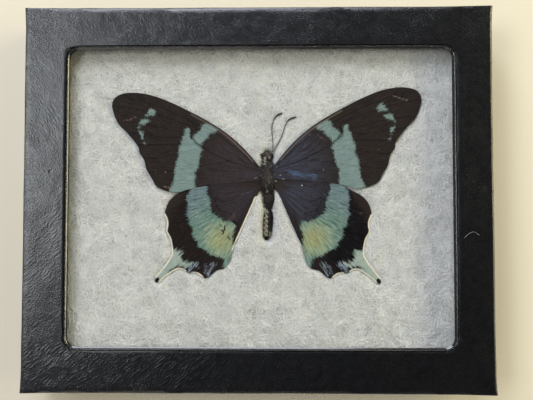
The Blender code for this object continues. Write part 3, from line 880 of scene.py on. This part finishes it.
def tubes(name, paths, radius, material, replaces=(), roundness=0):
    """Thin tubes as one mesh; each point of a path has its own share of the radius."""
    curve = bpy.data.curves.new(name, "CURVE")
    curve.dimensions = "3D"
    curve.bevel_depth = radius * MM
    curve.bevel_resolution = roundness
    curve.use_fill_caps = True
    for path in paths:
        spline = curve.splines.new("POLY")
        spline.points.add(len(path) - 1)
        for point, ((x, y, z), share) in zip(spline.points, path):
            point.co = (x * MM, y * MM, z * MM, 1.0)
            point.radius = share
    holder = bpy.data.objects.new(name + "_curve", curve)
    mesh = bpy.data.meshes.new_from_object(holder)
    bpy.data.objects.remove(holder)
    mesh.name = name
    mesh.materials.clear()
    mesh.materials.append(material)
    mesh.shade_smooth()
    return place_piece(name, mesh, replaces)


def strands(name, paths, radius, material, tip=0.2):
    """Thin strands that taper to tip, as one mesh."""
    tapered = [[(point, 1.0 - (1.0 - tip) * (step / (len(path) - 1)) ** 2) for step, point in enumerate(path)]
               for path in paths]
    tubes(name, tapered, radius, material)


def hair_paths(stations, centre_z, ratio, count, length, rng):
    """Hairs that rise from the body's upper half and lie back towards the tail."""
    paths = []
    for _ in range(count):
        along = rng.uniform(stations[-1][0] + 0.1, stations[0][0] - 0.1)
        angle = rng.uniform(-0.15, math.pi + 0.15)
        aside, half = station_at(stations, along)
        out = Vector((math.cos(angle), 0.0, math.sin(angle)))
        start = Vector((BODY_LINE_X + aside + out.x * half, along, centre_z + out.z * half * ratio))
        lean = Vector((rng.uniform(-0.5, 0.5), rng.uniform(-1.2, 0.2), rng.uniform(-0.2, 0.4)))
        heading = (out * 0.8 + lean).normalized() * length * rng.uniform(0.6, 1.2)
        bend = Vector((rng.uniform(-0.25, 0.25), -0.3, -0.25)) * length
        path = [start + heading * t + bend * t * t for t in (0.0, 0.35, 0.7, 1.0)]
        paths.append([(p.x, p.y, min(p.z, HAIR_CEILING)) for p in path])
    return paths


def body_hair_paths(thorax, head, abdomen, rng):
    """Hair all over the body: how many hairs each section has, and how long they are."""
    return (hair_paths(THORAX_STATIONS, THORAX_Z, THORAX_DEPTH, *thorax, rng)
            + hair_paths(HEAD_STATIONS, HEAD_Z, 1.0, *head, rng)
            + hair_paths(ABDOMEN_STATIONS[:3], ABDOMEN_Z, 1.0, *abdomen, rng))


TUFTS = [                    # x, y and size of each pale tuft at the neck and shoulders
    (1.8, 12.2, 0.5), (3.25, 12.3, 0.3), (1.95, 11.3, 0.45), (1.75, 10.5, 0.45), (0.85, 10.6, 0.3), (4.35, 11, 0.3),
    (5.3, 9.4, 0.3), (4.9, 2.2, 0.4), (2.6, 2.3, 0.4), (3.6, 9.6, 0.25), (1.3, 8.6, 0.25), (4.5, 7.2, 0.3),
    (0.7, 6.9, 0.3), (3.1, 6.4, 0.2), (5.2, 5.3, 0.35), (1.6, 4.6, 0.3), (6.4, 6.8, 0.3), (7.6, 5.9, 0.25),
    (-0.8, 6.2, 0.25),
]


def build_hair():
    """The thorax and head are furred; a few tufts at the neck and shoulders are pale."""
    rng = random.Random(11)
    fur = plain_finish("dark_insect_hair", "#231d1a", 0.6)
    grey = plain_finish("grey_insect_hair", "#8f8378", 0.6)
    white = plain_finish("pale_neck_tufts", "#e2dfd0", 0.7)
    strands("thorax_and_head_fur", body_hair_paths((1500, 1.15), (300, 0.6), (260, 0.4), rng), 0.05, fur)
    strands("body_grey_hairs", body_hair_paths((240, 0.8), (200, 0.5), (30, 0.4), rng), 0.05, grey)
    tufts = []
    for x, y, size in TUFTS:
        for _ in range(int(26 * size)):
            spot = Vector((x + rng.gauss(0, 0.22), y + rng.gauss(0, 0.16), 14.55))
            tilt = Vector((rng.uniform(-0.3, 0.3) + 0.25, rng.uniform(-0.25, 0.25), 0.0)) * size * 2.0
            tufts.append([spot, spot + tilt * 0.5 + Vector((0, 0, 0.08)), spot + tilt])
    strands("pale_neck_tufts", tufts, 0.04, white, tip=0.5)


def build_eyes_and_palps():
    """Two compound eyes and the two mouth palps."""
    eye = chitin("compound_eye", "#15110d", "#2c241c", 0.3, 9.0)
    for name, x in (("eye_left", 1.35), ("eye_right", 3.95)):
        bm = bmesh.new()
        bmesh.ops.create_uvsphere(bm, u_segments=28, v_segments=18, radius=0.72)
        bmesh.ops.scale(bm, vec=(0.8, 1.0, 1.0), verts=bm.verts)
        bmesh.ops.translate(bm, vec=(x, 13.25, 12.9), verts=bm.verts)
        finish_piece(name, bm, eye, smooth_angle=180.0)
    rng = random.Random(5)
    fur = plain_finish("palp_hair", "#4a4238", 0.6)
    paths = []
    for x, y, lean in ((1.0, 13.4, -0.95), (2.3, 14.1, 0.25)):
        for _ in range(60):
            start = Vector((x + rng.gauss(0, 0.18), y + rng.gauss(0, 0.15), 13.6 + rng.uniform(-0.4, 0.2)))
            heading = Vector((lean, 0.35 + rng.uniform(-0.25, 0.25), rng.uniform(-0.1, 0.3))) * 0.8
            paths.append([start, start + heading * 0.5, start + heading])
    strands("mouth_palps", paths, 0.06, fur, tip=0.4)


ANTENNAE = {
    "antenna_left": [(4.2, 14.1), (4.35, 15.5), (4.35, 17.6), (4.05, 21), (4.35, 23.1), (5.2, 24.8), (7.2, 25.9)],
    "antenna_right": [(4.4, 14.1), (4.9, 15), (6.1, 17), (7.2, 19.4), (8, 21.8), (9.1, 23.75), (11.4, 24.7)],
}
ANTENNA_RADIUS = 0.12
ANTENNA_RING = 0.32          # length of one joint of the feeler


def feeler_width(t):
    """Width at a share of the feeler's length, over its width at the root: it thickens to a club near the tip."""
    if t < 0.92:
        return 1.0 + 1.55 * max(0.0, (t - 0.72) / 0.2) ** 1.2
    return 2.55 - 1.2 * ((t - 0.92) / 0.08) ** 2


def build_antennae():
    """Jointed feelers, a ring of chitin at a time."""
    skin = chitin("antenna_chitin", "#14110e", "#29231d", 0.45, 6.0)
    for node, points in ANTENNAE.items():
        low, high = box_mm(node)
        line = smooth_curve([(x, y, 0.0) for x, y in points], closed=False, steps=24)
        run = np.concatenate([[0.0], np.cumsum(np.hypot(*np.diff(line, axis=0).T))])
        steps = math.ceil(run[-1] / (ANTENNA_RING / 4))
        path = []
        for t in np.arange(steps + 1) / steps:
            s = run[-1] * t
            place = (np.interp(s, run, line[:, 0]), np.interp(s, run, line[:, 1]), (low.z + high.z) / 2)
            path.append((place, feeler_width(t) * (1.0 + 0.12 * math.sin(2 * math.pi * s / ANTENNA_RING))))
        tubes(node + "_jointed", [path], ANTENNA_RADIUS, skin, (node,), 3)


# Batting
# -------

PAD_PITCH = 0.7
PAD_FREE = 14.12             # the batting swells this high where nothing presses it down
FORE_PRESS, HIND_PRESS, BODY_PRESS = 0.15, 0.45, 2.6   # how far the wings and the body press it down


def placed_outline(node):
    """A wing's outline where it lies in the case."""
    rim = smooth_curve(WINGS[node]["drawing"]["outline"], steps=3)
    return np.array([(wing_place(node) @ Vector((x, y, 0.0)))[:2] for x, y in rim])


class PadHeight:
    """Height of the batting's surface: level, pressed down under the wings and hollowed round the body."""

    def __init__(self):
        self.xs = np.arange(PAD_LOW.x, PAD_HIGH.x + PAD_PITCH, PAD_PITCH)
        self.ys = np.arange(PAD_LOW.y, PAD_HIGH.y + PAD_PITCH, PAD_PITCH)
        grid = np.array([(x, y) for x in self.xs for y in self.ys])
        fore, hind = [np.max([depth_inside(grid, placed_outline(kind + side)) for side in ("left", "right")], 0)
                      for kind in ("forewing_", "hindwing_")]
        feelers = [distance_to_line(grid, smooth_curve(line, closed=False)) for line in ANTENNAE.values()]
        level = np.full(len(grid), PAD_FREE)
        level -= FORE_PRESS * np.clip(fore / 2.0 + 1.0, 0, 1)
        level -= HIND_PRESS * np.clip(hind / 1.4 + 0.9, 0, 1)
        level = np.minimum(level, 13.85 + 0.2 * np.min(feelers, 0))
        body = distance_to_line(grid, np.array([(2.8, 12.8), (2.9, 3.0), (3.0, -3.0), (2.8, -11.4)]))
        level -= BODY_PRESS * np.clip((2.3 - body) / 1.0, 0, 1)
        swell = np.array([noise.noise(Vector((x * 0.09, y * 0.09, 2.0))) * 0.26
                          + noise.noise(Vector((x * 0.35, y * 0.35, 7.0))) * 0.12 for x, y in grid])
        swell *= np.clip(0.3 - np.maximum(fore, hind) / 4.0, 0.3, 1.0)
        self.level = (level + swell).reshape(len(self.xs), len(self.ys))

    def at(self, x, y):
        """Height at a place, read between the grid's points."""
        i = min(max((x - self.xs[0]) / PAD_PITCH, 0.0), len(self.xs) - 1.001)
        j = min(max((y - self.ys[0]) / PAD_PITCH, 0.0), len(self.ys) - 1.001)
        a, b = int(i), int(j)
        u, v = i - a, j - b
        near, far = self.level[a:a + 2, b], self.level[a:a + 2, b + 1]
        return (near[0] * (1 - u) + near[1] * u) * (1 - v) + (far[0] * (1 - u) + far[1] * u) * v


def build_pad(height):
    """The batting's own mass, as a block with a soft uneven top."""
    bm = bmesh.new()
    middle, half = (PAD_LOW + PAD_HIGH) / 2, (PAD_HIGH - PAD_LOW) / 2
    across, along = math.ceil(2 * half.x / PAD_PITCH), math.ceil(2 * half.y / PAD_PITCH)
    bmesh.ops.create_grid(bm, x_segments=across, y_segments=along, size=1.0)
    for vert in bm.verts:
        x, y = middle.x + vert.co.x * half.x, middle.y + vert.co.y * half.y
        vert.co = (x, y, min(height.at(x, y), GLASS_LOW.z - 0.1))
    rim = [e for e in bm.edges if e.is_boundary]
    skirt = bmesh.ops.extrude_edge_only(bm, edges=rim)["geom"]
    for vert in [g for g in skirt if isinstance(g, bmesh.types.BMVert)]:
        vert.co.z = PAD_LOW.z
    bmesh.ops.holes_fill(bm, edges=[e for e in bm.edges if e.is_boundary])
    bmesh.ops.recalc_face_normals(bm, faces=bm.faces)
    piece = finish_piece("batting", bm, batting(), ("fibre_pad",), 60.0)


FIBRE_STEPS = 9
FIBRES_EACH = 2400           # in each of five pieces
WISPS = 420


def fibre_path(rng, height, length, wander):
    """One crimped fibre that lies along the batting's surface, under the window or a little past it."""
    ranges = [(centre - half, centre + half) for centre, half in zip(WINDOW_CENTRE, WINDOW_HALF)]
    place = [rng.uniform(low - 2, high + 2) for low, high in ranges]
    heading = rng.uniform(0, 2 * math.pi)
    lift = rng.uniform(-0.02, 0.28)
    turn = rng.gauss(0, wander)
    path = []
    for step in range(FIBRE_STEPS):
        rise = lift * math.sin(math.pi * (step + 0.5) / FIBRE_STEPS)
        path.append((*place, min(height.at(*place) + rise, GLASS_LOW.z - 0.08)))
        heading += turn + rng.gauss(0, wander * 0.9)
        place = [min(max(v, low - 3), high + 3) + way * length / FIBRE_STEPS
                 for v, (low, high), way in zip(place, ranges, (math.cos(heading), math.sin(heading)))]
    return path


def build_fibres(height):
    """Loose fibres over the batting, in a few pieces: fine ones, and thicker wisps."""
    rng = random.Random(23)
    white = polyester_fibre()
    for number in range(1, 6):
        paths = [fibre_path(rng, height, rng.uniform(4.0, 15.0), 0.25) for _ in range(FIBRES_EACH)]
        strands(f"batting_fibres_{number}", paths, 0.05, white, tip=0.5)
    paths = [fibre_path(rng, height, rng.uniform(5.0, 12.0), 0.35) for _ in range(WISPS)]
    paths.append([(x, y, PAD_FREE + 0.4) for x, y in ((-38.4, 2.0), (-37.5, 2.35), (-36.5, 2.25), (-35.9, 1.9))])
    strands("batting_wisps", paths, 0.09, white, tip=0.4)


# Case
# ----

ROUND_RIGHT = 1.2            # the cover is pulled over the right edge in a wider curve than elsewhere
EDGE_TIGHT = 0.55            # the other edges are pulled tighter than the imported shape's rounding
CORNER_FOLD = 0.4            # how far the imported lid's folded corners stand out from its walls along X
RIM_WIDTH = 0.75             # the turned-in edge round the window, which is a piece of its own
RIM_STEPS = (                # its profile from the lid inwards: how wide each step is and how far it drops
    (0.47, 0.0), (0.10, -0.05), (0.05, -0.18), (0.03, -0.74), (0.13, -0.13), (0.35, -0.25),
)
RIM_OVERLAP = 1.15           # it starts this far outside the window, under the cover
PUSH_REACH = 2.5             # how far from the window the lid still gives way to the rim
LID_PITCH = 2.5
WAVE_REACH = 9.0             # how far from an edge the board's waviness is felt
CORNER_REACH = 3.0           # how far from a corner the folded cover keeps its shape sharp


def push_from_window(vert):
    """Move the lid's window edge out by RIM_WIDTH; what lies PUSH_REACH away stays."""
    x, y = vert.co.x - WINDOW_CENTRE[0], vert.co.y - WINDOW_CENTRE[1]
    over = Vector((abs(x) - WINDOW_HALF[0] + WINDOW_RADIUS, abs(y) - WINDOW_HALF[1] + WINDOW_RADIUS))
    if over.x > 0 and over.y > 0:
        way = over.normalized()
    else:
        way = Vector((1.0, 0.0)) if over.x > over.y else Vector((0.0, 1.0))
    out = over.dot(way) - WINDOW_RADIUS
    if out < PUSH_REACH:
        move = RIM_WIDTH * (1.0 - out / PUSH_REACH)
        vert.co.x += math.copysign(way.x * move, x)
        vert.co.y += math.copysign(way.y * move, y)


def build_lid():
    """The lid under its cover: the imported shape, cut finer and made slightly uneven as covered board is."""
    bm = bmesh.new()
    bm.from_mesh(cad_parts["lid"].data)
    bmesh.ops.scale(bm, vec=(1 / MM, 1 / MM, 1 / MM), verts=bm.verts)
    bmesh.ops.remove_doubles(bm, verts=bm.verts, dist=0.001)
    slice_grid(bm, LID_PITCH, "xyz")
    walls = (LID_HIGH.x - CORNER_FOLD, LID_HIGH.y)
    for inset in (0.1, 0.25, 0.45, 0.65, 0.9, 1.15, 1.5):
        bmesh.ops.bisect_plane(bm, geom=bm.verts[:] + bm.edges[:] + bm.faces[:],
                               plane_co=(walls[0] - inset, 0, 0), plane_no=(1, 0, 0))
    for vert in bm.verts:
        push_from_window(vert)
        top = vert.co.z > LID_HIGH.z - BOARD - 0.01
        over = min(vert.co.x - (walls[0] - ROUND_RIGHT), ROUND_RIGHT)
        drop = LID_HIGH.z - vert.co.z
        for index in (0, 1):
            inward = -1.0 if vert.co[index] > 0 else 1.0
            near = walls[index] - abs(vert.co[index])
            if 0 <= near < 0.9 and drop < 0.95 and not (index == 0 and inward < 0):
                vert.co[index] = inward * (near * EDGE_TIGHT - walls[index])
                vert.co.z = LID_HIGH.z - drop * EDGE_TIGHT
            wave = 0.05 + noise.noise(vert.co * 0.05) * 0.12 + noise.noise(vert.co * 0.2) * 0.06
            vert.co[index] += inward * wave * max(0.0, 1.0 - abs(near) / WAVE_REACH)
        if top:
            vert.co.z += noise.noise(vert.co * 0.07 + Vector((9, 4, 0))) * 0.04 - 0.08
            if over > 0:
                vert.co.z -= ROUND_RIGHT - math.sqrt(max(ROUND_RIGHT ** 2 - over ** 2, 0.0))
        corner = Vector((math.copysign(LID_HIGH.x, vert.co.x), math.copysign(LID_HIGH.y, vert.co.y), vert.co.z))
        vert.co += (corner - vert.co) * 0.7 * max(0.0, 1 - (corner - vert.co).length / CORNER_REACH)
        for index in range(3):
            vert.co[index] = min(max(vert.co[index], LID_LOW[index]), LID_HIGH[index])
    bmesh.ops.recalc_face_normals(bm, faces=bm.faces)
    finish_piece("covered_lid", bm, leatherette(), ("lid",), 40.0)


def rounded_rectangle(half_x, half_y, radius, steps=8):
    """Points round a rectangle with round corners about the window's middle, anticlockwise."""
    points = []
    for quarter, (right, up) in enumerate(((1, 1), (-1, 1), (-1, -1), (1, -1))):
        for step in range(steps + 1):
            angle = math.radians(90) * (quarter + step / steps)
            points.append((WINDOW_CENTRE[0] + right * (half_x - radius) + radius * math.cos(angle),
                           WINDOW_CENTRE[1] + up * (half_y - radius) + radius * math.sin(angle)))
    return points


def build_window_rim():
    """The cover's turned-in edge round the window: it drops, then slopes in to the glass and catches the light."""
    outline = rounded_rectangle(*[half + RIM_OVERLAP for half in WINDOW_HALF], WINDOW_RADIUS + 1.1)
    bm = bmesh.new()
    face = bm.faces.new([bm.verts.new((x, y, LID_HIGH.z - 0.10)) for x, y in outline])
    bm.normal_update()
    for width, drop in RIM_STEPS:
        bmesh.ops.inset_region(bm, faces=[face], use_boundary=True, use_even_offset=True, thickness=width)
        bmesh.ops.translate(bm, vec=(0, 0, drop), verts=face.verts)
    bm.faces.remove(face)
    finish_piece("window_rim", bm, stretched_leatherette(), (), 28.0)


def dress_nodes():
    """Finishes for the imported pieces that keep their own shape."""
    brass = plain_finish("drawn_brass_pin", "#c9a04f", 0.3, metallic=1.0)
    finishes = {"base_tray": black_paper(), "glass_pane": window_glass(),
                **{f"closing_pin_{number}": brass for number in range(1, 5)}}
    for node, material in finishes.items():
        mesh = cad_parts[node].data
        mesh.materials.clear()
        mesh.materials.append(material)


def build_lint():
    """A stray grey fibre that has settled on the right of the lid."""
    lint = plain_finish("grey_lint", "#9a9da2", 0.8)
    path = smooth_curve([(60.2, -11.6), (61.2, -10.6), (62.4, -9.9), (63.4, -10.0), (64.6, -10.8)], closed=False)
    strands("stray_lint", [[(x, y, LID_HIGH.z - 0.10) for x, y in path]], 0.09, lint, tip=0.8)


build_camera()
build_lights()
build_table()
build_lid()
build_window_rim()
dress_nodes()
pad_height = PadHeight()
build_pad(pad_height)
build_fibres(pad_height)
build_wings()
build_head_and_thorax()
build_abdomen()
build_hair()
build_eyes_and_palps()
build_antennae()
build_lint()
